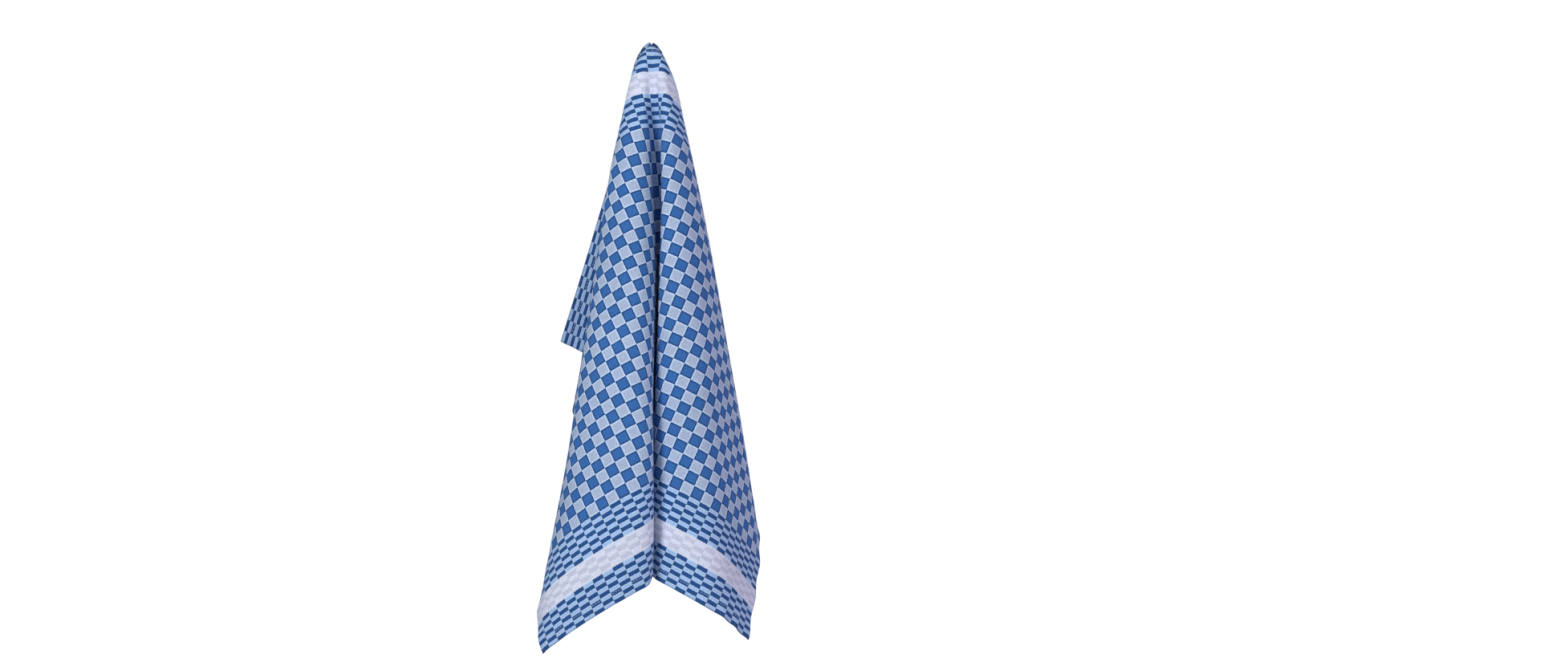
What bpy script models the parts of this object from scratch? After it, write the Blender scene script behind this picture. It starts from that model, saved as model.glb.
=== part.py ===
"""A checked tea towel, hung by the middle of one long edge.

Metres, +Z up, front towards -Y.  The origin is the hang point, the middle of
the top edge where the towel is held.  The cloth is one flat rectangle.  Every
straight line drawn on it from the hang point stays nearly straight as the towel
hangs, so the shape is a set of rays.  Across the rays the cloth keeps its own
length and only turns, by the angles in FOLDS.
"""
import bpy
import numpy as np

# ---------------------------------------------------------------- flat cloth
TOWEL_WIDTH = 0.700        # the long way, along the edge that it hangs by
TOWEL_LENGTH = 0.487       # from the top edge to the bottom hem
HANG_FROM_LEFT = 0.360     # hang point, measured along the top edge
CLOTH_THICKNESS = 0.0016
HEM_THICKNESS = 0.0024     # the turned cloth is thicker
HEM_DEPTH = 0.012
HEM_STEP = 0.0015          # over which the thickness changes

# ---------------------------------------------------------------- folds
# fold          where the fold lies on the flat cloth, in degrees from the line
#               straight down from the hang point, negative to the left
# near_peg      turn of the cloth across the fold close to the hang point, degrees
# at_hem        the same turn half a metre further down
# half_width    half of the cloth taken by the turn, in metres
# widest        the most that this half may be close to the peg, in degrees
FOLDS = (
    # name                where   near_peg  at_hem  half_width  widest
    ("left edge fold",     -74.75,  -175.0,  -209.0,   0.011,      6.0),
    ("left back fold",     -65.75,   200.5,   149.5,   0.011,      6.0),
    ("left flank fold",    -53.75,  -165.0,  -107.0,   0.013,      7.0),
    ("left lobe side",     -38.75,   105.5,   162.5,   0.053,      9.0),
    ("left lobe face",     -29.31,   -24.0,    24.0,   0.057,     12.0),
    ("left valley edge",   -23.83,   117.0,   157.5,   0.020,     10.0),
    ("left valley wall",   -13.48,   107.5,  -207.5,   0.017,      7.0),
    ("left inner fold",     -2.50,  -152.0,   -13.0,   0.011,      6.0),
    ("valley floor",         4.48,  -211.0,   -46.5,   0.020,      8.0),
    ("right inner fold",     7.62,    85.0,  -146.5,   0.011,      6.0),
    ("right crease",        20.68,   164.0,   151.5,   0.034,      7.0),
    ("right lobe face",     29.65,    46.5,   106.5,   0.020,     12.0),
    ("right lobe side",     47.00,   145.0,    85.5,   0.074,      9.0),
    ("right flank fold",    53.50,  -170.5,  -136.5,   0.013,      7.0),
    ("right back fold",     62.50,   193.0,   153.0,   0.011,      6.0),
    ("right edge fold",     74.25,  -211.0,  -151.0,   0.011,      6.0),
)
FOLD_RUN = 0.5             # distance over which near_peg becomes at_hem

# ---------------------------------------------------------------- hang
ROUND_TURN = 1.60          # near the peg the cloth only rolls round, per degree
FOLDS_START = 0.019        # distance from the peg at which folds are half formed
FOLDS_GROWTH = 1.90
SIDE_LEAN = (-0.4, -0.6)   # degrees, mean lean to the right, at the peg and below
BACK_LEAN = (-6.7, 9.4)    # degrees, mean lean to the back, at the peg and below
TWIST = (0.0, -8.0)        # degrees about the vertical, at the peg and below
CROWN_ANGLE = 60.0         # degrees by which the cloth flares where it is held
CROWN_REACH = 0.006
BACK_RUN_ANGLE = 65.0      # the strip by the top edge first runs to the back
BACK_RUN_REACH = 0.034
BACK_RUN_FROM = (36.0, 76.0)   # flat angles between which that run sets in

# ---------------------------------------------------------------- mesh
STEPS_ACROSS = 361         # rays walked when the folds are worked out
STEPS_DOWN = 81
DOWN_CROWDING = 1.6        # steps are closer together near the peg
DEGREES_A_FACE = 32.0      # one face to this much turning ...
METRES_A_FACE = 0.055      # ... or to this much cloth at the hem
RINGS = (0.008, 0.020, 0.040, 0.070, 0.11, 0.16, 0.23, 0.31, 0.40, 0.50, 0.61,
         0.72, 0.83, 0.92)  # share of each ray, down to the hem

COLLECTION = "tea_towel"
NODE = "towel_cloth"
CLOTH_COLOUR = (0.17, 0.27, 0.52, 1.0)


def smooth_step(x):
    """0 to 1 over x from -1 to 1."""
    x = np.clip(x, -1.0, 1.0)
    return 0.5 + 0.25 * x * (3.0 - x * x)


def blend(pair, share):
    return pair[0] + (pair[1] - pair[0]) * share


def headings(angles, reaches, grown):
    """Way that the cloth runs across each ray, degrees, seen from above."""
    turned = np.zeros((len(reaches), len(angles)))
    share = (reaches / FOLD_RUN)[:, None]
    for _name, where, near_peg, at_hem, half_width, widest in FOLDS:
        half = np.degrees(half_width / np.maximum(reaches, 1e-6))
        half = np.minimum(half, widest)[:, None]
        step = smooth_step((angles[None] - where) / half) - smooth_step(-where / half)
        turned += blend((near_peg, at_hem), share) * step
    return (1.0 - grown) * ROUND_TURN * angles[None] + grown * turned


def walk(angles, heading):
    """Unit direction of every ray, walked from the middle ray to both edges."""
    count, middle = len(angles), len(angles) // 2
    rays = np.zeros(heading.shape + (3,))
    for way in (1, -1):
        down = np.tile((0.0, 0.0, -1.0), (len(heading), 1))
        right = np.tile((1.0, 0.0, 0.0), (len(heading), 1))
        rays[:, middle] = down
        last = middle
        for here in range(middle + way, count if way > 0 else -1, way):
            step = np.radians(angles[here] - angles[last])
            turn = np.radians(0.5 * (heading[:, here] + heading[:, last]))[:, None]
            along = right * np.cos(turn) + np.cross(right, down) * np.sin(turn)
            down, along = (down * np.cos(step) + along * np.sin(step),
                           along * np.cos(step) - down * np.sin(step))
            down /= np.linalg.norm(down, axis=1, keepdims=True)
            right = along * np.cos(turn) - np.cross(along, down) * np.sin(turn)
            rays[:, here] = down
            last = here
    return rays


def hang_straight(rays, grown):
    """Turn each row of rays so that its mean hangs at the stated lean."""
    side, back = (np.sin(np.radians(blend(lean, grown[:, 0]))) for lean in (SIDE_LEAN, BACK_LEAN))
    goals = np.stack([side, back, -np.ones(len(rays))], axis=1)
    goals /= np.linalg.norm(goals, axis=1, keepdims=True)
    means = rays.mean(axis=1)
    means /= np.linalg.norm(means, axis=1, keepdims=True)
    for row, (mean, goal) in enumerate(zip(means, goals)):
        x, y, z = np.cross(mean, goal)
        skew = np.array([[0.0, -z, y], [z, 0.0, -x], [-y, x, 0.0]])
        turn = np.eye(3) + skew + skew @ skew / (1.0 + mean @ goal)
        rays[row] = rays[row] @ turn.T
    twist = np.radians(blend(TWIST, grown))
    x, y = rays[..., 0].copy(), rays[..., 1].copy()
    rays[..., 0] = x * np.cos(twist) - y * np.sin(twist)
    rays[..., 1] = x * np.sin(twist) + y * np.cos(twist)
    return rays


def shape_top(rays, angles, reaches):
    """Round the crown over the peg and lead the top edge to the back."""
    level = np.linalg.norm(rays[..., :2], axis=-1)
    lean = np.arctan2(level, -rays[..., 2])
    flare = np.radians(CROWN_ANGLE) * np.exp(-reaches / CROWN_REACH)[:, None]
    lean = lean + flare * np.clip(1.0 - lean / (np.pi / 2), 0.0, 1.0)
    grow = np.sin(lean) / np.maximum(level, 1e-9)
    x, y, z = rays[..., 0] * grow, rays[..., 1] * grow, -np.cos(lean)
    middle = 0.5 * (BACK_RUN_FROM[0] + BACK_RUN_FROM[1])
    half = 0.5 * (BACK_RUN_FROM[1] - BACK_RUN_FROM[0])
    run = np.exp(-(reaches / BACK_RUN_REACH) ** 2)[:, None]
    run = np.radians(BACK_RUN_ANGLE) * run * smooth_step((np.abs(angles) - middle) / half)
    return np.stack([x, y * np.cos(run) - z * np.sin(run),
                     y * np.sin(run) + z * np.cos(run)], axis=-1)


def edge_reach(angles):
    """Distance from the hang point to the towel's edge along each ray."""
    slope = np.radians(angles)
    down = TOWEL_LENGTH / np.maximum(np.cos(slope), 1e-6)
    side = np.where(angles < 0.0, HANG_FROM_LEFT, TOWEL_WIDTH - HANG_FROM_LEFT)
    return np.minimum(down, side / np.maximum(np.abs(np.sin(slope)), 1e-6))


def hem_inside(angles):
    """Distance along each ray to the inner edge of the side and bottom hems."""
    slope = np.radians(angles)
    down = (TOWEL_LENGTH - HEM_DEPTH) / np.maximum(np.cos(slope), 1e-6)
    side = np.where(angles < 0.0, HANG_FROM_LEFT, TOWEL_WIDTH - HANG_FROM_LEFT) - HEM_DEPTH
    return np.minimum(down, side / np.maximum(np.abs(np.sin(slope)), 1e-6))


class Drape:
    """Where any point of the flat cloth hangs."""

    def __init__(self):
        self.angles = np.linspace(-90.0, 90.0, STEPS_ACROSS)
        longest = np.hypot(max(HANG_FROM_LEFT, TOWEL_WIDTH - HANG_FROM_LEFT), TOWEL_LENGTH)
        self.longest = 1.02 * longest
        self.reaches = np.linspace(0.0, 1.0, STEPS_DOWN) ** DOWN_CROWDING * self.longest
        power = self.reaches ** FOLDS_GROWTH
        grown = (power / (power + FOLDS_START ** FOLDS_GROWTH))[:, None]
        self.heading = headings(self.angles, self.reaches, grown)
        rays = hang_straight(walk(self.angles, self.heading), grown)
        rays = shape_top(rays, self.angles, self.reaches)
        steps = np.diff(self.reaches)[:, None, None]
        walked = np.cumsum(0.5 * (rays[1:] + rays[:-1]) * steps, axis=0)
        self.points = np.concatenate([np.zeros((1,) + walked.shape[1:]), walked])

    def place(self, reach, angle):
        """Hung point of each flat point, given its distance and angle."""
        across = np.clip((angle + 90.0) / 180.0, 0.0, 1.0) * (STEPS_ACROSS - 1)
        column = np.minimum(across.astype(int), STEPS_ACROSS - 2)
        side = (across - column)[:, None]
        row = np.clip(np.searchsorted(self.reaches, reach, side="right") - 1, 0, STEPS_DOWN - 2)
        down = ((reach - self.reaches[row]) / (self.reaches[row + 1] - self.reaches[row]))[:, None]
        grid = self.points
        upper = grid[row, column] * (1.0 - side) + grid[row, column + 1] * side
        lower = grid[row + 1, column] * (1.0 - side) + grid[row + 1, column + 1] * side
        return upper * (1.0 - down) + lower * down


def ray_angles(drape):
    """Flat angles of the mesh's rays, closer together where the cloth turns."""
    fine = drape.angles
    row = np.searchsorted(drape.reaches, TOWEL_LENGTH)
    effort = np.zeros(len(fine))
    for level in (row // 3, row // 2, row):
        turning = np.abs(np.gradient(drape.heading[level], fine)) / DEGREES_A_FACE
        effort = np.maximum(effort, turning)
    effort = effort + np.radians(edge_reach(fine)) / METRES_A_FACE
    total = np.concatenate([[0.0], np.cumsum(0.5 * (effort[1:] + effort[:-1]) * np.diff(fine))])
    count = int(np.ceil(total[-1]))
    rays = np.interp(np.linspace(0.0, total[-1], count + 1), total, fine)
    for across in (-HANG_FROM_LEFT, TOWEL_WIDTH - HANG_FROM_LEFT):
        corner = np.degrees(np.arctan2(across, TOWEL_LENGTH))
        rays[np.argmin(np.abs(rays - corner))] = corner
    return rays


def towel_mesh():
    """Open sheet of the hung towel, with the hem's points marked."""
    drape = Drape()
    rays = ray_angles(drape)
    edge, inside = edge_reach(rays), hem_inside(rays)
    rings = [share * (inside - HEM_STEP) for share in RINGS]
    rings += [inside - HEM_STEP, inside, edge]
    first_hem_ring = len(rings) - 2
    points = [(0.0, 0.0, 0.0)]
    for ring in rings:
        points += [tuple(p) for p in drape.place(ring, rays)]
    width = len(rays)
    faces = [(0, 1 + k, 2 + k) for k in range(width - 1)]
    for ring in range(len(rings) - 1):
        upper, lower = 1 + ring * width, 1 + (ring + 1) * width
        faces += [(upper + k, lower + k, lower + k + 1, upper + k + 1) for k in range(width - 1)]
    mesh = bpy.data.meshes.new(NODE)
    mesh.from_pydata(points, [], faces)
    mesh.validate()
    mesh.update()
    hem = list(range(1 + first_hem_ring * width, len(points)))
    return mesh, hem


def cloth_material():
    material = bpy.data.materials.new("checked_cotton")
    material.use_nodes = True
    shader = material.node_tree.nodes["Principled BSDF"]
    shader.inputs["Base Color"].default_value = CLOTH_COLOUR
    shader.inputs["Roughness"].default_value = 0.9
    shader.inputs["Metallic"].default_value = 0.0
    return material


def main():
    for old in list(bpy.data.objects):
        bpy.data.objects.remove(old, do_unlink=True)
    home = bpy.data.collections.new(COLLECTION)
    bpy.context.scene.collection.children.link(home)

    mesh, hem = towel_mesh()
    towel = bpy.data.objects.new(NODE, mesh)
    home.objects.link(towel)
    mesh.materials.append(cloth_material())
    group = towel.vertex_groups.new(name="hem")
    group.add(hem, 1.0, "REPLACE")

    wall = towel.modifiers.new("cloth", "SOLIDIFY")
    wall.thickness = HEM_THICKNESS
    wall.offset = 0.0
    wall.use_rim = True
    wall.vertex_group = "hem"
    wall.thickness_vertex_group = CLOTH_THICKNESS / HEM_THICKNESS


main()
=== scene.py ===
"""Studio scene of a blue and white checked tea towel.

The towel hangs by the middle of one long edge, so its cloth falls in two round
lobes at the front, with a deep valley between them, and in flat zigzag folds at
the back.  Metres, +Z up, front towards -Y, the origin at the hang point.

The cloth is one rectangle with its four edges turned to the back and sewn.  A
flat point of it is named by how far it lies from the hang point, its reach, and
by its angle from the line straight down.  Lines drawn from the hang point stay
nearly straight as the cloth hangs.  Across them it keeps its length and turns by
the angles in FOLDS.
"""

import logging
import math
from dataclasses import dataclass
from enum import Enum
from typing import Any, Iterable, Sequence

import bpy
import numpy as np
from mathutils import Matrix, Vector

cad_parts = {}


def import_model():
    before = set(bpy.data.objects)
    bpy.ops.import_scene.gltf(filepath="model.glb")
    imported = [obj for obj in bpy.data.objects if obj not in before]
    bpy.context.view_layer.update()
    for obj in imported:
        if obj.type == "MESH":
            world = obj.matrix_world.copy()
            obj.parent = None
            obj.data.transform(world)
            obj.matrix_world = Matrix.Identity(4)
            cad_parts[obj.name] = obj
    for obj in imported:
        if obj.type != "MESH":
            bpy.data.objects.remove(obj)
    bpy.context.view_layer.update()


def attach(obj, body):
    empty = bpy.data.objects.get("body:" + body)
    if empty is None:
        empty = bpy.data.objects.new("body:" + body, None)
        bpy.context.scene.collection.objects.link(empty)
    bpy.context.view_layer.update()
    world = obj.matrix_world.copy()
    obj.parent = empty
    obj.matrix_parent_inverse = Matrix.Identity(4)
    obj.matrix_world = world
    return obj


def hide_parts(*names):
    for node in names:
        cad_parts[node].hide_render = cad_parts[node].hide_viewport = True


logging.basicConfig(level=logging.INFO, format="%(message)s")
log = logging.getLogger("tea_towel")

MM = 0.001
PHOTO_SIZE = (1954, 820)


# ---- sizes
@dataclass(frozen=True)
class ClothSize:
    """Sizes of the flat towel, in metres."""

    width: float = 0.700            # the long way, along the edge it hangs by
    length: float = 0.487
    hang_from_left: float = 0.360   # hang point, measured along the top edge
    thickness: float = 0.0009
    hem_thickness: float = 0.0020   # three layers of cloth
    hem_depth: float = 0.012
    hem_step: float = 0.0012        # over which the thickness changes
    # Distances from the edge, and the share of the hem's thickness at each.
    edge_round: tuple[tuple[float, float], ...] = ((0.0, 0.55), (0.0004, 0.85), (0.0012, 1.0))

    @property
    def hang_from_right(self) -> float:
        """Distance along the top edge from the hang point to the right edge."""
        return self.width - self.hang_from_left


@dataclass(frozen=True)
class Fold:
    """One turn of the cloth about a line from the hang point, in degrees and metres."""

    name: str
    where: float        # on the flat cloth, from the line straight down
    near_peg: float     # how far the cloth turns close to the hang point
    at_hem: float       # the same turn half a metre further down
    half_width: float   # half of the cloth that the turn takes
    widest: float       # the most that this half may be close to the peg


@dataclass(frozen=True)
class Ridge:
    """A soft ridge, or a trough where its height is negative, along a ray."""

    name: str
    where: float        # degrees on the flat cloth
    drift: float        # degrees by which it strays over its run
    start: float        # reach at which it begins, in metres
    end: float
    height: float
    half_width: float


FOLDS = (
    #    name              where   near_peg  at_hem  half_width  widest
    Fold("left edge fold",   -74.75,  -175.0,  -209.0,   0.011,      6.0),
    Fold("left back fold",   -65.75,   200.5,   149.5,   0.011,      6.0),
    Fold("left flank fold",  -53.75,  -165.0,  -107.0,   0.013,      7.0),
    Fold("left lobe side",   -38.75,   105.5,   162.5,   0.053,      9.0),
    Fold("left lobe face",   -29.31,   -24.0,    24.0,   0.057,     12.0),
    Fold("left valley edge", -23.83,   117.0,   157.5,   0.020,     10.0),
    Fold("left valley wall", -13.48,   107.5,  -207.5,   0.017,      7.0),
    Fold("left inner fold",   -2.50,  -152.0,   -13.0,   0.011,      6.0),
    Fold("valley floor",       4.48,  -211.0,   -46.5,   0.020,      8.0),
    Fold("right inner fold",   7.62,    85.0,  -146.5,   0.011,      6.0),
    Fold("right crease",      20.68,   164.0,   151.5,   0.034,      7.0),
    Fold("right lobe face",   29.65,    46.5,   106.5,   0.020,     12.0),
    Fold("right lobe side",   47.00,   145.0,    85.5,   0.074,      9.0),
    Fold("right flank fold",  53.50,  -170.5,  -136.5,   0.013,      7.0),
    Fold("right back fold",   62.50,   193.0,   153.0,   0.011,      6.0),
    Fold("right edge fold",   74.25,  -211.0,  -151.0,   0.011,      6.0),
)

RIDGES = (
    #     name                        where  drift  start   end    height   half_width
    Ridge("left lobe, by the valley",  -22.5,  -2.0, 0.090, 0.330,  0.0008, 0.010),
    Ridge("left lobe, face",           -29.0,   2.5, 0.150, 0.450, -0.0010, 0.013),
    Ridge("left lobe, shoulder",       -36.0,  -3.0, 0.060, 0.260,  0.0011, 0.011),
    Ridge("left lobe, low side",       -40.5,   4.0, 0.300, 0.560, -0.0014, 0.016),
    Ridge("left flank",                -46.0,  -2.0, 0.120, 0.400,  0.0009, 0.010),
    Ridge("right lobe, by the crease",  23.0,   1.5, 0.100, 0.360, -0.0008, 0.010),
    Ridge("right lobe, face",           30.5,  -2.5, 0.200, 0.500,  0.0011, 0.014),
    Ridge("right lobe, shoulder",       38.0,   3.0, 0.050, 0.240, -0.0010, 0.010),
    Ridge("right lobe, low side",       43.0,  -3.5, 0.280, 0.560,  0.0013, 0.017),
    Ridge("right flank",                48.0,   2.0, 0.160, 0.420, -0.0009, 0.011),
    Ridge("gather, far left",          -66.0,   4.0, 0.018, 0.080,  0.0010, 0.0030),
    Ridge("gather, left shoulder",     -50.0,  -5.0, 0.018, 0.095, -0.0012, 0.0032),
    Ridge("gather, left",              -35.0,   5.0, 0.018, 0.105,  0.0013, 0.0034),
    Ridge("gather, left of middle",    -19.0,  -4.0, 0.018, 0.120, -0.0014, 0.0032),
    Ridge("gather, middle",             -4.0,   5.0, 0.018, 0.090,  0.0010, 0.0030),
    Ridge("gather, right of middle",    14.0,  -3.0, 0.018, 0.110,  0.0013, 0.0036),
    Ridge("gather, right",              29.0,   4.0, 0.018, 0.100, -0.0013, 0.0032),
    Ridge("gather, right shoulder",     44.0,  -4.0, 0.018, 0.085,  0.0012, 0.0034),
    Ridge("gather, far right",          61.0,  -3.0, 0.018, 0.090, -0.0010, 0.0030),
)


@dataclass(frozen=True)
class Hang:
    """How the towel falls from the hang point, in degrees and metres."""

    fold_run: float = 0.5           # near_peg becomes at_hem over this
    round_turn: float = 1.60        # turn for each degree near the peg
    folds_start: float = 0.019      # reach at which folds are half made
    folds_growth: float = 1.90      # how suddenly they form there
    side_lean: tuple[float, float] = (-0.4, -0.6)   # to the right, at the peg and below
    back_lean: tuple[float, float] = (-6.7, 9.4)    # to the back, at the peg and below
    twist: tuple[float, float] = (0.0, -8.0)        # seen from above, at the peg and below
    crown_angle: float = 60.0       # how far the cloth is spread over the peg
    crown_reach: float = 0.006
    back_run_angle: float = 65.0    # how far the top edge leads to the back
    back_run_reach: float = 0.034
    back_run_from: tuple[float, float] = (36.0, 76.0)   # rays where that starts and is whole
    past_corner: float = 1.02       # the rays end a little past the far corner
    steps_across: int = 721
    steps_down: int = 141
    down_crowding: float = 1.6      # 1 spaces the steps evenly, more crowds the peg


# ---- helpers
def smooth_step(x: np.ndarray) -> np.ndarray:
    """Return a soft rise from 0 to 1 over x from -1 to 1."""
    x = np.clip(x, -1.0, 1.0)
    return 0.5 + 0.25 * x * (3.0 - x * x)


def between(pair: tuple[float, float], share: Any) -> Any:
    """Return the value at share of the way from pair[0] to pair[1]."""
    return pair[0] + (pair[1] - pair[0]) * share


def linear(hex_colour: str) -> tuple[float, float, float, float]:
    """Turn an sRGB hex colour into linear values.

    Args:
        hex_colour: Six hex digits, with or without a leading #.

    Returns:
        Red, green, blue and an alpha of 1.
    """
    digits = hex_colour.lstrip("#")
    parts = [int(digits[i:i + 2], 16) / 255.0 for i in (0, 2, 4)]
    red, green, blue = (p / 12.92 if p <= 0.04045 else ((p + 0.055) / 1.055) ** 2.4 for p in parts)
    return (red, green, blue, 1.0)


def deselect_all() -> None:
    """Leave nothing selected, so that an operator acts on its own object."""
    for item in bpy.context.selected_objects:
        item.select_set(False)


# ---- drape
class Drape:
    """Where each point of the flat cloth hangs."""

    def __init__(self, size: ClothSize, hang: Hang, folds: Sequence[Fold]) -> None:
        """Walk the cloth round the hang point at every reach.

        Args:
            size: The flat towel.
            hang: How it falls.
            folds: Its turns, in any order.
        """
        self.hang, self.folds = hang, folds
        self.angles = np.linspace(-90.0, 90.0, hang.steps_across)
        corner = math.hypot(max(size.hang_from_left, size.hang_from_right), size.length)
        longest = hang.past_corner * corner
        self.reaches = np.linspace(0.0, 1.0, hang.steps_down) ** hang.down_crowding * longest
        power = self.reaches ** hang.folds_growth
        grown = (power / (power + hang.folds_start ** hang.folds_growth))[:, None]
        rays = self._walk(self._headings(grown))
        rays = self._shape_top(self._hang_straight(rays, grown))
        steps = np.diff(self.reaches)[:, None, None]
        walked = np.cumsum(0.5 * (rays[1:] + rays[:-1]) * steps, axis=0)
        self.points = np.concatenate([np.zeros((1,) + walked.shape[1:]), walked])

    def _headings(self, grown: np.ndarray) -> np.ndarray:
        """Work out which way the cloth runs across each ray.

        Args:
            grown: How far the folds have formed at each reach, 0 to 1.

        Returns:
            Degrees seen from above, a row for each reach.
        """
        turned = np.zeros((len(self.reaches), len(self.angles)))
        share = (self.reaches / self.hang.fold_run)[:, None]
        for fold in self.folds:
            half = np.degrees(fold.half_width / np.maximum(self.reaches, 1e-6))
            half = np.minimum(half, fold.widest)[:, None]
            step = smooth_step((self.angles[None] - fold.where) / half)
            step = step - smooth_step(-fold.where / half)
            turned += between((fold.near_peg, fold.at_hem), share) * step
        return (1.0 - grown) * self.hang.round_turn * self.angles[None] + grown * turned

    def _walk(self, heading: np.ndarray) -> np.ndarray:
        """Walk from the middle ray to both edges, turning by the headings.

        Args:
            heading: Degrees seen from above, a row for each reach.

        Returns:
            Unit direction of every ray at every reach.
        """
        count, middle = len(self.angles), len(self.angles) // 2
        rays = np.zeros(heading.shape + (3,))
        for way in (1, -1):
            down = np.tile((0.0, 0.0, -1.0), (len(heading), 1))
            right = np.tile((1.0, 0.0, 0.0), (len(heading), 1))
            rays[:, middle] = down
            for here in range(middle + way, count if way > 0 else -1, way):
                step = math.radians(self.angles[here] - self.angles[here - way])
                turn = np.radians(0.5 * (heading[:, here] + heading[:, here - way]))[:, None]
                along = right * np.cos(turn) + np.cross(right, down) * np.sin(turn)
                down, along = (down * math.cos(step) + along * math.sin(step),
                               along * math.cos(step) - down * math.sin(step))
                down /= np.linalg.norm(down, axis=1, keepdims=True)
                right = along * np.cos(turn) - np.cross(along, down) * np.sin(turn)
                rays[:, here] = down
        return rays

    def _hang_straight(self, rays: np.ndarray, grown: np.ndarray) -> np.ndarray:
        """Turn each row of rays so that its mean hangs at the stated lean.

        Args:
            rays: Unit directions, a row for each reach.
            grown: How far the folds have formed at each reach, 0 to 1.

        Returns:
            The turned directions.
        """
        leans = (self.hang.side_lean, self.hang.back_lean)
        side, back = (np.sin(np.radians(between(lean, grown[:, 0]))) for lean in leans)
        goals = np.stack([side, back, -np.ones(len(rays))], axis=1)
        goals /= np.linalg.norm(goals, axis=1, keepdims=True)
        means = rays.mean(axis=1)
        means /= np.linalg.norm(means, axis=1, keepdims=True)
        for row, (mean, goal) in enumerate(zip(means, goals)):
            x, y, z = np.cross(mean, goal)
            skew = np.array([[0.0, -z, y], [z, 0.0, -x], [-y, x, 0.0]])
            turn = np.eye(3) + skew + skew @ skew / (1.0 + mean @ goal)
            rays[row] = rays[row] @ turn.T
        twist = np.radians(between(self.hang.twist, grown))
        x, y = rays[..., 0].copy(), rays[..., 1].copy()
        rays[..., 0] = x * np.cos(twist) - y * np.sin(twist)
        rays[..., 1] = x * np.sin(twist) + y * np.cos(twist)
        return rays

    def _shape_top(self, rays: np.ndarray) -> np.ndarray:
        """Round the crown over the peg and lead the top edge to the back.

        Args:
            rays: Unit directions, a row for each reach.

        Returns:
            The directions with the crown's flare and the edge's run added.
        """
        hang = self.hang
        level = np.linalg.norm(rays[..., :2], axis=-1)
        lean = np.arctan2(level, -rays[..., 2])
        flare = math.radians(hang.crown_angle) * np.exp(-self.reaches / hang.crown_reach)[:, None]
        lean = lean + flare * np.clip(1.0 - lean / (math.pi / 2), 0.0, 1.0)
        grow = np.sin(lean) / np.maximum(level, 1e-9)
        x, y, z = rays[..., 0] * grow, rays[..., 1] * grow, -np.cos(lean)
        middle = 0.5 * sum(hang.back_run_from)
        half = 0.5 * (hang.back_run_from[1] - hang.back_run_from[0])
        run = np.exp(-(self.reaches / hang.back_run_reach) ** 2)[:, None]
        run = run * smooth_step((np.abs(self.angles) - middle) / half)
        run = math.radians(hang.back_run_angle) * run
        return np.stack([x, y * np.cos(run) - z * np.sin(run),
                         y * np.sin(run) + z * np.cos(run)], axis=-1)

    def place(self, across: np.ndarray, down: np.ndarray) -> np.ndarray:
        """Hang flat points.

        Args:
            across: Metres to the right of the hang point on the flat cloth.
            down: Metres below the top edge on the flat cloth.

        Returns:
            Points in the frame, one row for each flat point.
        """
        reach = np.hypot(across, down)
        angle = np.degrees(np.arctan2(across, down))
        column = np.clip((angle + 90.0) / 180.0, 0.0, 1.0) * (len(self.angles) - 1)
        left = np.minimum(column.astype(int), len(self.angles) - 2)
        side = (column - left)[:, None]
        row = np.searchsorted(self.reaches, reach, side="right") - 1
        row = np.clip(row, 0, len(self.reaches) - 2)
        gap = self.reaches[row + 1] - self.reaches[row]
        share = ((reach - self.reaches[row]) / gap)[:, None]
        grid = self.points
        upper = grid[row, left] * (1.0 - side) + grid[row, left + 1] * side
        lower = grid[row + 1, left] * (1.0 - side) + grid[row + 1, left + 1] * side
        return upper * (1.0 - share) + lower * share


# ---- materials
# Inputs and output of a Mix node that blends two colours.
FIRST, SECOND = 6, 7
BLEND = {"data_type": "RGBA", "out": 2}
# Noise seldom leaves this range.
NOISE = (0.3, 0.7)


class Graph:
    """The node tree of one material."""

    def __init__(self, name: str) -> None:
        """Start a material with a Principled shader and its output.

        Args:
            name: Its name.
        """
        self.material = bpy.data.materials.new(name)
        self.material.use_nodes = True
        self.tree = self.material.node_tree
        self.shader = self.tree.nodes["Principled BSDF"]

    def _feed(self, socket: bpy.types.NodeSocket, value: Any) -> None:
        """Link an input to a socket, or set it to a value.

        Args:
            socket: The input.
            value: What it gets.
        """
        if isinstance(value, bpy.types.NodeSocket):
            self.tree.links.new(value, socket)
        else:
            socket.default_value = value

    def add(self, kind: str, *inputs: Any, out: int | str = 0,
            more: dict[Any, Any] | None = None, **settings: Any) -> Any:
        """Add a node with its settings and links.

        Args:
            kind: Node type, without its ShaderNode prefix.
            inputs: A value or a socket for each input in order.
            out: Which output to hand back.
            more: Further inputs by name or number.
            settings: Properties of the node.

        Returns:
            The chosen output socket.
        """
        node = self.tree.nodes.new("ShaderNode" + kind)
        for key, value in settings.items():
            setattr(node, key, value)
        for key, value in list(enumerate(inputs)) + list((more or {}).items()):
            self._feed(node.inputs[key], value)
        return node.outputs[out]

    def shade(self, **values: Any) -> bpy.types.Material:
        """Set the shader's inputs, each to a value or to a socket.

        Args:
            values: Inputs by name, with _ in place of a space.

        Returns:
            The finished material.
        """
        for key, value in values.items():
            self._feed(self.shader.inputs[key.replace("_", " ")], value)
        return self.material


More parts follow.
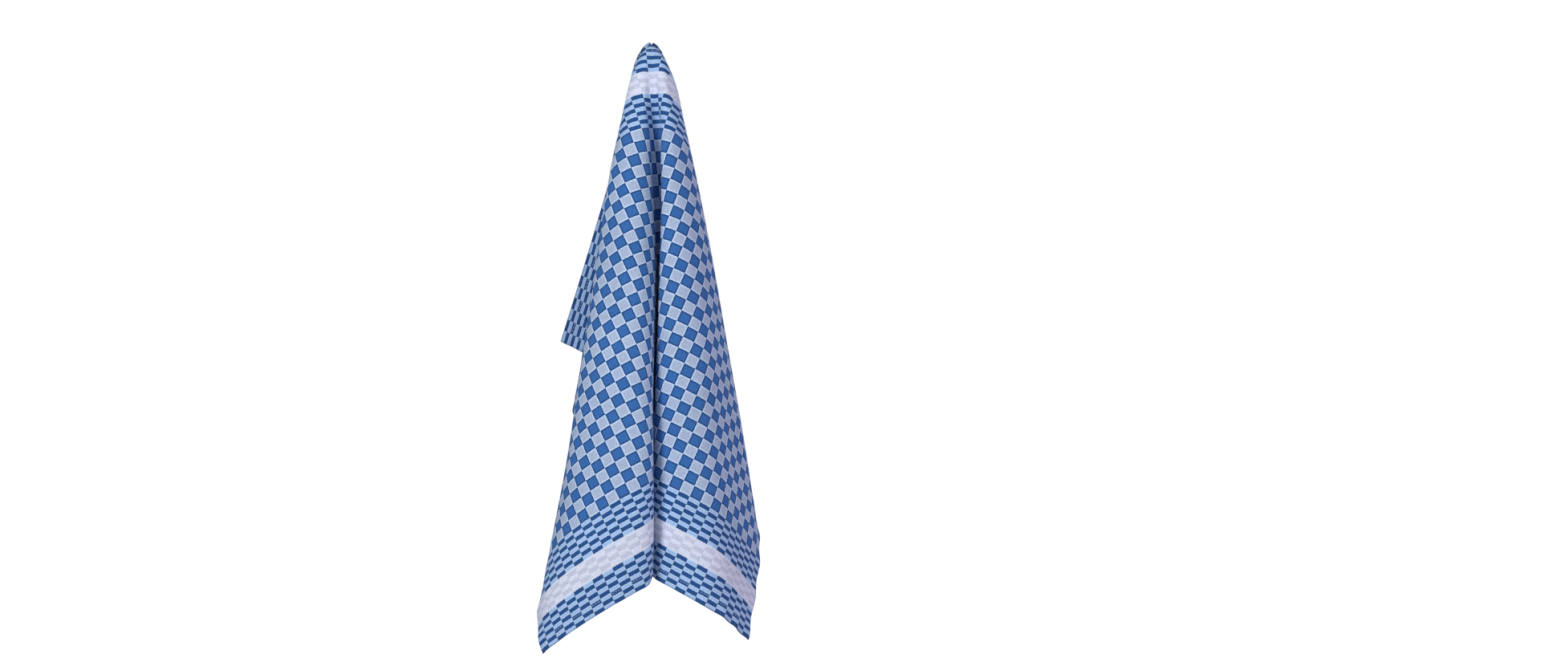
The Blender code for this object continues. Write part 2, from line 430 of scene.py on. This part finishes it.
@dataclass(frozen=True)
class CheckPattern:
    """The woven pattern of the towel, in millimetres on the flat cloth."""

    columns: int = 57
    small_rows: int = 8
    small_row: float = 4.093
    pale_edge: float = 2.3
    pale_rows: int = 4
    pale_row: float = 4.15
    field_rows: int = 28
    rim: float = 1.75           # width of the outline of each check
    small_rim: float = 0.95     # the same in the low checks
    full_rim: float = 0.45      # share of that width before the outline starts to fade
    thread: float = 1.05        # real threads are 0.45 mm apart, drawn coarser to show
    stray: float = 0.7          # range in which an edge wanders, as real yarn does
    stray_rate: float = 0.55    # wanderings in each millimetre
    slub_rate: float = 0.9      # thick and thin places of the yarn in each millimetre
    wash_rate: float = 0.018    # patches of paler dye in each millimetre
    weave_rise: float = 0.22    # how far a thread stands up where it crosses another

    def zones(self, length: float) -> list[tuple[int, float]]:
        """List the zones from the top hem to the bottom hem.

        Args:
            length: Length of the cloth in millimetres.

        Returns:
            Number of rows and height of each zone.
        """
        checks = (self.small_rows, self.small_rows * self.small_row)
        border = [checks, (0, self.pale_edge), (self.pale_rows, self.pale_rows * self.pale_row),
                  (0, self.pale_edge), checks]
        used = 2.0 * sum(height for _rows, height in border)
        return border + [(self.field_rows, length - used)] + border[::-1]


@dataclass(frozen=True)
class ClothPlace:
    """Sockets that say where a point lies on the flat cloth and in its pattern."""

    flat: Any           # the flat point, in millimetres
    thread: Any         # the same in threads
    slub: Any           # how thick the yarn is there
    dark: Any           # 1 in a dark check, 0 in a light one
    in_field: Any       # 1 among the large checks
    in_pale: Any        # 1 in the pale stripe and its two edges
    in_pale_rows: Any   # 1 in the pale stripe alone
    rim: Any            # 1 on the outline of a check, 0 inside it
    from_edge: Any      # millimetres to the nearest edge


@dataclass(frozen=True)
class CheckedCotton:
    """Cotton tea towel, woven in blocks from dyed blue and bleached yarn.

    The eye gets matt squares with a fine outline, because the two yarns cross
    between them, a little fleck inside each and a faint fuzz at a grazing look.
    """

    name: str = "checked_cotton"
    field_light: str = "#AFBFDA"
    field_light_rim: str = "#C8E0FF"
    field_dark: str = "#3A6EB2"
    field_dark_rim: str = "#234479"
    small_light: str = "#A6C8F4"
    small_light_rim: str = "#C3DAF9"
    small_dark: str = "#285594"
    small_dark_rim: str = "#22487B"
    pale_high: str = "#E2E6FA"
    pale_low: str = "#CCD1E6"
    pale_edge: str = "#DDE4F7"
    # Painted shade: a dark line where each hem turns to the back.
    edge_shade: str = "#2C4A7C"
    fuzz: str = "#DCE4F6"
    edge_shade_share: float = 0.75    # strength of the painted shade along the edges
    fleck: tuple[float, float] = (0.86, 1.12)   # darkest and lightest single thread
    wash: tuple[float, float] = (0.97, 1.03)    # the same for patches of worn dye
    roughness: tuple[float, float] = (0.86, 0.94)
    sunk: float = 0.9           # depth of an outline, as a share of the rise of a thread

    def make(self, size: ClothSize, pattern: CheckPattern) -> bpy.types.Material:
        """Build the material on the cloth's own UV map.

        Args:
            size: The flat towel, which the UV map spans from 0 to 1.
            pattern: The checks.

        Returns:
            The material.
        """
        g = Graph(self.name)
        place = self._place(g, size, pattern)
        colour = g.add("VectorMath", self._dye(g, place), self._fleck(g, place, pattern),
                       operation="MULTIPLY")
        # Loose cotton fibre scatters light, so it shines far less than a smooth solid.
        return g.shade(Base_Color=colour, Normal=self._weave(g, place, pattern),
                       Roughness=g.add("MapRange", place.slub, *NOISE, *self.roughness),
                       Specular_IOR_Level=0.12, Sheen_Weight=0.03, Sheen_Roughness=0.5,
                       Sheen_Tint=linear(self.fuzz))

    def _place(self, g: Graph, size: ClothSize, pattern: CheckPattern) -> ClothPlace:
        """Find where each point lies on the flat cloth, and in which check.

        Args:
            g: The material's nodes.
            size: The flat towel.
            pattern: The checks.

        Returns:
            The sockets of that place.
        """
        width, length = size.width / MM, size.length / MM
        uv = g.add("SeparateXYZ", g.add("UVMap", uv_map="cloth")).node
        across = g.add("Math", uv.outputs[0], width, operation="MULTIPLY")
        down = g.add("Math", uv.outputs[1], -length, length, operation="MULTIPLY_ADD")
        flat = g.add("CombineXYZ", across, down, 0.0)
        stray = g.add("TexNoise", flat, more={"Scale": pattern.stray_rate, "Detail": 2.0},
                      out="Color", noise_dimensions="2D")
        stray = g.add("VectorMath", stray, (0.5, 0.5, 0.5), operation="SUBTRACT")
        woven = g.add("VectorMath", stray, (pattern.stray, pattern.stray, 0.0), flat,
                      operation="MULTIPLY_ADD")
        woven = g.add("SeparateXYZ", woven).node
        across, down = woven.outputs[0], woven.outputs[1]

        column = g.add("Math", across, pattern.columns / width, operation="MULTIPLY")
        row, top = 0.0, 0.0
        for rows, height in pattern.zones(length):
            if rows:
                part = g.add("MapRange", down, top, top + height, 0.0, float(rows))
                row = part if top == 0.0 else g.add("Math", row, part, operation="ADD")
            top += height
        number = g.add("Math", g.add("Math", column, operation="FLOOR"),
                       g.add("Math", row, operation="FLOOR"), operation="ADD")

        # The same bands repeat from both hems, so they are read from the nearer one.
        from_end = g.add("Math", down, 0.5 * length, operation="PINGPONG")
        starts = np.cumsum([height for _rows, height in pattern.zones(length)[:5]])
        inside = [g.add("Math", from_end, float(begin), operation="GREATER_THAN")
                  for begin in starts]
        in_field = inside[4]

        # Distance to the nearest edge of the check, in millimetres.
        field_row = (length - 2.0 * float(starts[-1])) / pattern.field_rows
        tall = g.add("MapRange", in_field, 0.0, 1.0, pattern.small_row, field_row)
        near = []
        for turn, scale in ((column, width / pattern.columns), (row, tall)):
            part = g.add("Math", turn, 0.5, operation="PINGPONG")
            near.append(g.add("Math", part, scale, operation="MULTIPLY"))
        nearest = g.add("Math", *near, operation="MINIMUM")
        reach = g.add("MapRange", in_field, 0.0, 1.0, pattern.small_rim, pattern.rim)
        rim = g.add("Math", nearest, reach, operation="DIVIDE")
        side = g.add("Math", across, 0.5 * width, operation="PINGPONG")
        return ClothPlace(
            flat=flat,
            thread=g.add("VectorMath", flat, (1.0 / pattern.thread,) * 3, operation="MULTIPLY"),
            slub=g.add("TexNoise", flat, more={"Scale": pattern.slub_rate, "Detail": 3.0},
                       noise_dimensions="2D"),
            dark=g.add("Math", number, 2.0, operation="FLOORED_MODULO"),
            in_field=in_field,
            in_pale=g.add("Math", inside[0], inside[3], operation="SUBTRACT"),
            in_pale_rows=g.add("Math", inside[1], inside[2], operation="SUBTRACT"),
            rim=g.add("MapRange", rim, pattern.full_rim, 1.0, 1.0, 0.0),
            from_edge=g.add("Math", from_end, side, operation="MINIMUM"))

    def _dye(self, g: Graph, place: ClothPlace) -> Any:
        """Colour the checks, the pale stripes and the painted shade along the edges.

        Args:
            g: The material's nodes.
            place: Where the point lies.

        Returns:
            Socket of the colour of the yarn.
        """
        tones = {}
        for tone in ("light", "dark"):
            pair = []
            for part in ("", "_rim"):
                small = linear(getattr(self, f"small_{tone}{part}"))
                large = linear(getattr(self, f"field_{tone}{part}"))
                pair.append(g.add("Mix", place.in_field, more={FIRST: small, SECOND: large},
                                  **BLEND))
            tones[tone] = g.add("Mix", place.rim, more={FIRST: pair[0], SECOND: pair[1]}, **BLEND)
        pale = {FIRST: linear(self.pale_high), SECOND: linear(self.pale_low)}
        pale = g.add("Mix", place.dark, more=pale, **BLEND)
        # The turn of each hem gets a painted shade, a dark line that fades 1.3 mm in.
        line = g.add("MapRange", place.from_edge, 0.5, 1.3, self.edge_shade_share, 0.0)
        colour = tones["light"]
        for share, other in ((place.dark, tones["dark"]),
                             (place.in_pale, linear(self.pale_edge)),
                             (place.in_pale_rows, pale),
                             (line, linear(self.edge_shade))):
            colour = g.add("Mix", share, more={FIRST: colour, SECOND: other}, **BLEND)
        return colour

    def _fleck(self, g: Graph, place: ClothPlace, pattern: CheckPattern) -> Any:
        """Make single threads a little lighter or darker than their block.

        Args:
            g: The material's nodes.
            place: Where the point lies.
            pattern: The checks.

        Returns:
            Socket of a grey that the colour is multiplied by.
        """
        fleck = g.add("TexWhiteNoise", g.add("VectorMath", place.thread, operation="FLOOR"),
                      noise_dimensions="2D")
        fleck = g.add("Math", fleck, place.slub, operation="ADD")
        fleck = g.add("MapRange", fleck, NOISE[0], 1.0 + NOISE[1], *self.fleck)
        wash = g.add("TexNoise", place.flat, more={"Scale": pattern.wash_rate, "Detail": 2.0},
                     noise_dimensions="2D")
        wash = g.add("MapRange", wash, *NOISE, *self.wash)
        shade = g.add("Math", fleck, wash, operation="MULTIPLY")
        return g.add("CombineXYZ", shade, shade, shade)

    def _weave(self, g: Graph, place: ClothPlace, pattern: CheckPattern) -> Any:
        """Raise the threads of a plain weave, over and under in turn, and sink each outline.

        Args:
            g: The material's nodes.
            place: Where the point lies.
            pattern: The checks.

        Returns:
            Socket of the normal.
        """
        split = g.add("SeparateXYZ", place.thread).node
        waves = []
        for along in split.outputs[:2]:
            turn = g.add("Math", along, math.pi, operation="MULTIPLY")
            waves.append(g.add("Math", turn, operation="SINE"))
        weave = g.add("Math", *waves, operation="MULTIPLY")
        raised = g.add("Math", place.rim, -self.sunk, weave, operation="MULTIPLY_ADD")
        return g.add("Bump", more={"Strength": 0.45, "Distance": pattern.weave_rise * MM,
                                   "Height": raised})


@dataclass(frozen=True)
class SewingThread:
    """Spun polyester sewing thread, twisted and slightly waxed.

    The eye gets short pale stitches with a soft shine along their twist.
    """

    name: str = "pale_sewing_thread"
    colour: str = "#D3DDF2"
    shade_colour: str = "#A9BCE2"

    def make(self) -> bpy.types.Material:
        """Build the material, with its twist along the object's own axes.

        Returns:
            The material.
        """
        g = Graph(self.name)
        place = g.add("TexCoord", out="Object")
        # The twist repeats every 1.2 mm, twice as coarse as in real thread, to show.
        twist = g.add("TexWave", place, more={"Scale": 520.0, "Distortion": 1.0},
                      wave_type="BANDS", bands_direction="DIAGONAL", out=1)
        # The grooves of the twist get a painted shade, the darker shade colour, between lit bands.
        lit_and_shaded_twist = {FIRST: linear(self.shade_colour), SECOND: linear(self.colour)}
        colour = g.add("Mix", twist, more=lit_and_shaded_twist, **BLEND)
        bump = g.add("Bump", more={"Strength": 0.4, "Distance": 0.00005, "Height": twist})
        return g.shade(Base_Color=colour, Normal=bump, Roughness=0.6, Specular_IOR_Level=0.35)


@dataclass(frozen=True)
class StudioPaper:
    """Matt white background paper, with a faint tooth."""

    name: str = "studio_paper"
    colour: str = "#F7F7F9"
    glow: float = 0.95      # it is lit from below, as on a light table

    def make(self) -> bpy.types.Material:
        """Build the material.

        Returns:
            The material.
        """
        g = Graph(self.name)
        place = g.add("TexCoord", out="Object")
        # Tooth of 17 mm, far coarser than real paper's, to show.
        tooth = g.add("TexNoise", place, more={"Scale": 60.0, "Detail": 3.0})
        rough = g.add("MapRange", tooth, *NOISE, 0.9, 0.97)
        return g.shade(Base_Color=linear(self.colour), Roughness=rough, Specular_IOR_Level=0.1,
                       Emission_Color=linear(self.colour), Emission_Strength=self.glow)


# ---- towel
class Edge(Enum):
    """The four sewn edges of the towel."""

    TOP = "top"
    BOTTOM = "bottom"
    LEFT = "left"
    RIGHT = "right"


@dataclass(frozen=True)
class Pucker:
    """Small waves of a hem, whose sewn edge is a little shorter than the cloth, in metres."""

    height: float
    pitch: float
    reach: float = 0.014        # distance from the edge over which they fade
    stray: float = 3.0          # radians by which they come early or late
    stray_run: float = 0.047    # length of that change along the hem


PUCKERS = {
    Edge.BOTTOM: Pucker(height=0.0009, pitch=0.031),
    Edge.LEFT: Pucker(height=0.0008, pitch=0.027),
    Edge.RIGHT: Pucker(height=0.0008, pitch=0.029),
}


@dataclass(frozen=True)
class StitchSize:
    """Sizes of one lockstitch, in metres."""

    length: float = 0.0026
    gap: float = 0.0009
    radius: float = 0.00028
    flatness: float = 0.8       # its height as a share of its width
    proud: float = 0.10         # share of the radius by which its middle clears the cloth
    taper: float = 0.06         # share of its length by which its ends stay blunt
    from_edge: float = 0.0106
    first: float = 0.15         # share of a stitch and its gap before the first one
    slant: float = 0.00035      # each stitch leans a little across its line
    sides: int = 6
    rings: int = 4


@dataclass(frozen=True)
class GridSize:
    """Spacing of the cloth's mesh, in metres."""

    step: float = 0.0032
    fine_step: float = 0.0015   # close to the hang point
    fine_run: float = 0.045     # how far out the fine step reaches
    samples: int = 4001         # places where the spacing is worked out
    facing_step: float = 0.0004     # over which the facing of the cloth is measured
    # Lines of the mesh in each hem, measured from the edge.
    hem_lines: tuple[float, ...] = (0.0, 0.0004, 0.0012, 0.0035, 0.0070, 0.0108, 0.0120, 0.0132)


class TeaTowel:
    """The hung towel: its cloth and the stitching of its hems."""

    def __init__(self, size: ClothSize, drape: Drape, ridges: Sequence[Ridge],
                 grid: GridSize, stitch: StitchSize) -> None:
        """Keep the sizes that the pieces are made from.

        Args:
            size: The flat towel.
            drape: Where its points hang.
            ridges: The small folds on top of the main ones.
            grid: Spacing of the mesh.
            stitch: Size of a stitch.
        """
        self.size, self.drape, self.ridges = size, drape, ridges
        self.grid, self.stitch = grid, stitch

    def _lines(self, low: float, high: float) -> np.ndarray:
        """Space the lines of the mesh along one direction of the cloth.

        Args:
            low: First line.
            high: Last line.

        Returns:
            The lines in order, closest by the hang point and in both hems.
        """
        hem = np.array(self.grid.hem_lines)
        start, end = low + hem[-1], high - hem[-1]
        fine = np.linspace(start, end, self.grid.samples)
        near = np.exp(-(fine / self.grid.fine_run) ** 2)
        step = self.grid.step + (self.grid.fine_step - self.grid.step) * near
        counts = 0.5 * (1 / step[1:] + 1 / step[:-1]) * np.diff(fine)
        total = np.concatenate([[0.0], np.cumsum(counts)])
        count = int(round(total[-1]))
        inner = np.interp(np.linspace(0.0, total[-1], count + 1), total, fine)
        return np.concatenate([low + hem[:-1], inner, (high - hem[:-1])[::-1]])

    def relief(self, across: np.ndarray, down: np.ndarray) -> np.ndarray:
        """Height of the small folds and of the hem's pucker.

        Args:
            across: Metres to the right of the hang point on the flat cloth.
            down: Metres below the top edge.

        Returns:
            Metres by which each point stands out to the front.
        """
        reach = np.hypot(across, down)
        angle = np.degrees(np.arctan2(across, down))
        height = np.zeros_like(reach)
        for ridge in self.ridges:
            share = np.clip((reach - ridge.start) / (ridge.end - ridge.start), 0.0, 1.0)
            line = ridge.where + ridge.drift * share
            off = np.radians(angle - line) * np.maximum(reach, 1e-6) / ridge.half_width
            height += ridge.height * np.exp(-off * off) * np.sin(math.pi * share) ** 2
        places = {Edge.BOTTOM: (self.size.length - down, across),
                  Edge.LEFT: (across + self.size.hang_from_left, down),
                  Edge.RIGHT: (self.size.hang_from_right - across, down)}
        for edge, pucker in PUCKERS.items():
            gap, along = places[edge]
            wave = np.sin(2.0 * math.pi * along / pucker.pitch
                          + pucker.stray * np.sin(along / pucker.stray_run))
            height += pucker.height * wave * np.exp(-np.maximum(gap, 0.0) / pucker.reach)
        return height

    def surface(self, across: np.ndarray, down: np.ndarray) -> tuple[np.ndarray, np.ndarray]:
        """Hang flat points, with the small folds on them.

        Args:
            across: Metres to the right of the hang point on the flat cloth.
            down: Metres below the top edge.

        Returns:
            The points and the directions in which the cloth's front faces.
        """
        step = self.grid.facing_step
        low, high = -self.size.hang_from_left, self.size.hang_from_right
        sides = [self.drape.place(np.clip(across + way * step, low, high), down)
                 for way in (-1.0, 1.0)]
        ends = [self.drape.place(across, np.clip(down + way * step, 0.0, self.size.length))
                for way in (-1.0, 1.0)]
        facing = np.cross(ends[1] - ends[0], sides[1] - sides[0])
        facing /= np.maximum(np.linalg.norm(facing, axis=1, keepdims=True), 1e-12)
        points = self.drape.place(across, down)
        out = self.relief(across, down) + 0.5 * self.size.thickness
        return points + facing * out[:, None], facing

    def _thickness(self, across: np.ndarray, down: np.ndarray) -> np.ndarray:
        """Thickness of the cloth, full in the hems and rounded off at the edges.

        Args:
            across: Metres to the right of the hang point on the flat cloth.
            down: Metres below the top edge.

        Returns:
            Shares of the hem's thickness.
        """
        size = self.size
        edge = np.minimum.reduce([across + size.hang_from_left, size.hang_from_right - across,
                                  down, size.length - down])
        places, shares = zip(*size.edge_round)
        return np.interp(edge, [*places, size.hem_depth - size.hem_step, size.hem_depth],
                         [*shares, 1.0, size.thickness / size.hem_thickness])

    def cloth(self, material: bpy.types.Material) -> bpy.types.Object:
        """Make the cloth as a thin sheet with turned hems.

        Args:
            material: The woven cloth.

        Returns:
            The cloth's object.
        """
        size = self.size
        columns = self._lines(-size.hang_from_left, size.hang_from_right)
        rows = self._lines(0.0, size.length)
        deselect_all()
        bpy.ops.mesh.primitive_grid_add(x_subdivisions=len(columns) - 1,
                                        y_subdivisions=len(rows) - 1, size=1.0)
        towel = bpy.context.object
        towel.name = towel.data.name = "tea_towel_cloth"
        mesh = towel.data
        flat = np.empty(3 * len(mesh.vertices))
        mesh.vertices.foreach_get("co", flat)
        flat = flat.reshape(-1, 3)
        column = np.rint((flat[:, 0] + 0.5) * (len(columns) - 1)).astype(int)
        row = np.rint((0.5 - flat[:, 1]) * (len(rows) - 1)).astype(int)
        across, down = columns[column], rows[row]
        points, _facing = self.surface(across, down)
        mesh.vertices.foreach_set("co", points.ravel())

        layer = mesh.uv_layers.active or mesh.uv_layers.new()
        layer.name = "cloth"
        corner = np.empty(len(mesh.loops), dtype=np.int32)
        mesh.loops.foreach_get("vertex_index", corner)
        uv = [(across + size.hang_from_left) / size.width, 1.0 - down / size.length]
        layer.data.foreach_set("uv", np.stack(uv, axis=1)[corner].ravel())

        weight = np.round(self._thickness(across, down), 3)
        group = towel.vertex_groups.new(name="thickness")
        for step in np.unique(weight):
            group.add(np.nonzero(weight == step)[0].tolist(), float(step), "REPLACE")
        wall = towel.modifiers.new("thickness", "SOLIDIFY")
        wall.thickness, wall.offset, wall.use_rim = size.hem_thickness, -1.0, True
        wall.vertex_group = group.name
        bpy.ops.object.modifier_apply(modifier=wall.name)
        mesh.materials.append(material)
        bpy.ops.object.shade_smooth()
        log.info("%s: %d faces from %d x %d lines", towel.name, len(mesh.polygons),
                 len(columns), len(rows))
        return towel

    def _stitch_lines(self) -> Iterable[tuple[Edge, np.ndarray, np.ndarray]]:
        """Lay out the stitches along each hem, on the flat cloth.

        Yields:
            The edge, and the ends of its stitches as (across, down) pairs.
        """
        size, stitch = self.size, self.stitch
        inset = stitch.from_edge
        left, right = -size.hang_from_left + inset, size.hang_from_right - inset
        top, bottom = inset, size.length - inset
        ends = {Edge.TOP: ((left, top), (right, top)),
                Edge.BOTTOM: ((left, bottom), (right, bottom)),
                Edge.LEFT: ((left, top), (left, bottom)),
                Edge.RIGHT: ((right, top), (right, bottom))}
        for edge, (start, end) in ends.items():
            start, end = np.array(start), np.array(end)
            run = float(np.linalg.norm(end - start))
            along = (end - start) / run
            across = np.array([-along[1], along[0]])
            count = int(run / (stitch.length + stitch.gap))
            begin = start + np.outer((np.arange(count) + stitch.first) * run / count, along)
            lean = across * 0.5 * stitch.slant
            yield edge, begin - lean, begin + along * stitch.length + lean

    def _stitch_faces(self) -> list[tuple[int, ...]]:
        """Number the corners of the faces of one stitch.

        Returns:
            The faces between its rings, then both ends.
        """
        sides, rings = self.stitch.sides, self.stitch.rings
        faces = [(low + k, low + (k + 1) % sides, low + sides + (k + 1) % sides, low + sides + k)
                 for low in range(0, (rings - 1) * sides, sides) for k in range(sides)]
        ends = [tuple(reversed(range(sides))), tuple(range((rings - 1) * sides, rings * sides))]
        return faces + ends

    def stitching(self, material: bpy.types.Material) -> bpy.types.Object:
        """Make the stitches of all hems, on the front and on the back.

        Args:
            material: The thread.

        Returns:
            One object that holds every stitch.
        """
        stitch, size = self.stitch, self.size
        turn = np.linspace(0.0, 2.0 * math.pi, stitch.sides, endpoint=False)
        share = np.linspace(0.0, 1.0, stitch.rings)
        swell = np.sqrt(np.sin(math.pi * np.clip(share, stitch.taper, 1.0 - stitch.taper)))
        proud = stitch.proud * stitch.radius
        one = self._stitch_faces()
        points: list[np.ndarray] = []
        faces: list[tuple[int, ...]] = []
        for edge, begin, end in self._stitch_lines():
            middle = 0.5 * (begin + end)
            first, _ = self.surface(*begin.T)
            last, _ = self.surface(*end.T)
            _, facing = self.surface(*middle.T)
            for out in (proud, -size.hem_thickness - proud):
                for a, b, n in zip(first, last, facing):
                    a, b = a + n * out, b + n * out
                    along = (b - a) / np.linalg.norm(b - a)
                    side = np.cross(along, n)
                    ring = stitch.radius * (np.outer(np.cos(turn), side)
                                            + np.outer(np.sin(turn), stitch.flatness * n))
                    base = len(points) * stitch.rings * stitch.sides
                    faces += [tuple(base + corner for corner in face) for face in one]
                    points.append(np.concatenate([a + (b - a) * s + ring * w
                                                  for s, w in zip(share, swell)]))
            log.info("hem stitching, %s: %d stitches a side", edge.value, len(begin))
        mesh = bpy.data.meshes.new("hem_stitching")
        mesh.from_pydata(np.concatenate(points).tolist(), [], faces)
        mesh.materials.append(material)
        thread = bpy.data.objects.new("hem_stitching", mesh)
        bpy.context.scene.collection.objects.link(thread)
        deselect_all()
        thread.select_set(True)
        bpy.context.view_layer.objects.active = thread
        bpy.ops.object.mode_set(mode="EDIT")
        bpy.ops.mesh.select_all(action="SELECT")
        bpy.ops.mesh.normals_make_consistent(inside=False)
        bpy.ops.object.mode_set(mode="OBJECT")
        bpy.ops.object.shade_smooth()
        log.info("%s: %d faces", thread.name, len(mesh.polygons))
        return thread


# ---- studio
@dataclass(frozen=True)
class SoftLight:
    """A large soft light, aimed at the middle of the towel."""

    name: str
    azimuth: float      # degrees from straight in front, positive to the right
    height: float       # degrees above the level of its aim
    distance: float
    width: float
    share: float        # light that it throws on what faces it, white paper lit fully being 1
    colour: str


@dataclass(frozen=True)
class StudioSize:
    """Floor, camera and even light of the studio, in metres."""

    floor_z: float = -0.72
    floor_radius: float = 9.0
    camera_distance: float = 2.10
    camera_z: float = -0.358
    pixels_a_metre: float = 1273.7      # in the photo, at the hang point's distance
    axis_pixel: tuple[float, float] = (812.0, 512.6)    # where the lens looks straight ahead
    sensor: float = 36.0            # millimetres
    backdrop: str = "#FFFFFF"       # behind the towel, seen by the camera alone
    room: str = "#EEF2FF"           # light from all sides
    room_share: float = 0.22
    aim: tuple[float, float, float] = (0.0, 0.0, -0.30)


# The side light is violet, because the flanks that it reaches look so.
LIGHTS = (
    #         name          azimuth  height  distance  width  share  colour
    SoftLight("left_light",   -36.0,   14.0,      2.6,   0.9,  0.58, "#FFFFFF"),
    SoftLight("front_light",   30.0,    5.0,      2.6,   3.2,  0.52, "#FFFFFF"),
    SoftLight("side_light",    92.0,    0.0,      2.2,   0.9,  0.14, "#F0C0FF"),
)


class Studio:
    """The plain pale room that the towel is seen in."""

    def __init__(self, size: StudioSize, lights: Sequence[SoftLight]) -> None:
        """Keep the sizes and the list of lights."""
        self.size, self.lights = size, lights

    def floor(self, material: bpy.types.Material) -> bpy.types.Object:
        """Make the floor.

        Args:
            material: Its paper.

        Returns:
            The floor's object.
        """
        deselect_all()
        bpy.ops.mesh.primitive_circle_add(vertices=96, radius=self.size.floor_radius,
                                          fill_type="NGON", location=(0.0, 0.0, self.size.floor_z))
        bpy.ops.object.transform_apply(location=True, rotation=False, scale=False)
        floor = bpy.context.object
        floor.name = floor.data.name = "studio_floor"
        floor.data.materials.append(material)
        floor.visible_diffuse = False       # or it would light the folds from below
        log.info("studio floor at %.2f m", self.size.floor_z)
        return floor

    def lamps(self) -> None:
        """Add the soft lights."""
        aim = Vector(self.size.aim)
        for soft in self.lights:
            turn, rise = math.radians(soft.azimuth), math.radians(soft.height)
            way = Vector((math.sin(turn) * math.cos(rise), -math.cos(turn) * math.cos(rise),
                          math.sin(rise)))
            data = bpy.data.lights.new(soft.name, "AREA")
            data.shape, data.size = "DISK", soft.width
            # White paper that faces a small disk of P watts shines P / (pi * distance) ** 2.
            data.energy = soft.share * (math.pi * soft.distance) ** 2
            data.color = linear(soft.colour)[:3]
            lamp = bpy.data.objects.new(soft.name, data)
            lamp.location = aim + way * soft.distance
            lamp.rotation_euler = (-way).to_track_quat("-Z", "Y").to_euler()
            bpy.context.scene.collection.objects.link(lamp)
            log.info("%s: %.2f of full light", soft.name, soft.share)

    def room(self) -> None:
        """Add the even light of the room and, for the camera alone, its white backdrop."""
        world = bpy.data.worlds.new("studio_light")
        world.use_nodes = True
        nodes, links = world.node_tree.nodes, world.node_tree.links
        room = nodes["Background"]
        room.inputs["Color"].default_value = linear(self.size.room)
        room.inputs["Strength"].default_value = self.size.room_share
        backdrop = nodes.new("ShaderNodeBackground")
        backdrop.inputs["Color"].default_value = linear(self.size.backdrop)
        seen, mix = nodes.new("ShaderNodeLightPath"), nodes.new("ShaderNodeMixShader")
        links.new(seen.outputs["Is Camera Ray"], mix.inputs[0])
        links.new(room.outputs[0], mix.inputs[1])
        links.new(backdrop.outputs[0], mix.inputs[2])
        links.new(mix.outputs[0], nodes["World Output"].inputs["Surface"])
        bpy.context.scene.world = world

    def camera(self) -> None:
        """Put the camera where the photo was taken from."""
        size = self.size
        wide, tall = PHOTO_SIZE
        data = bpy.data.cameras.new("photo_camera")
        data.sensor_width = size.sensor
        data.lens = size.sensor * size.pixels_a_metre * size.camera_distance / wide
        data.shift_x = (wide / 2 - size.axis_pixel[0]) / wide
        data.shift_y = (size.axis_pixel[1] - tall / 2) / wide
        data.clip_end = 50.0
        camera = bpy.data.objects.new("photo_camera", data)
        camera.location = (0.0, -size.camera_distance, size.camera_z)
        camera.rotation_euler = (math.pi / 2, 0.0, 0.0)
        bpy.context.scene.collection.objects.link(camera)
        bpy.context.scene.camera = camera
        bpy.context.scene.view_settings.view_transform = "Standard"


def main() -> None:
    """Build the towel and its studio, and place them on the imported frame."""
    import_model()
    size = ClothSize()
    towel = TeaTowel(size, Drape(size, Hang(), FOLDS), RIDGES, GridSize(), StitchSize())
    cloth = towel.cloth(CheckedCotton().make(size, CheckPattern()))
    stitching = towel.stitching(SewingThread().make())
    for piece in (cloth, stitching):
        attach(piece, "root")
    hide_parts("towel_cloth")

    studio = Studio(StudioSize(), LIGHTS)
    studio.floor(StudioPaper().make())
    studio.lamps()
    studio.room()
    studio.camera()


if __name__ == "__main__":
    main()
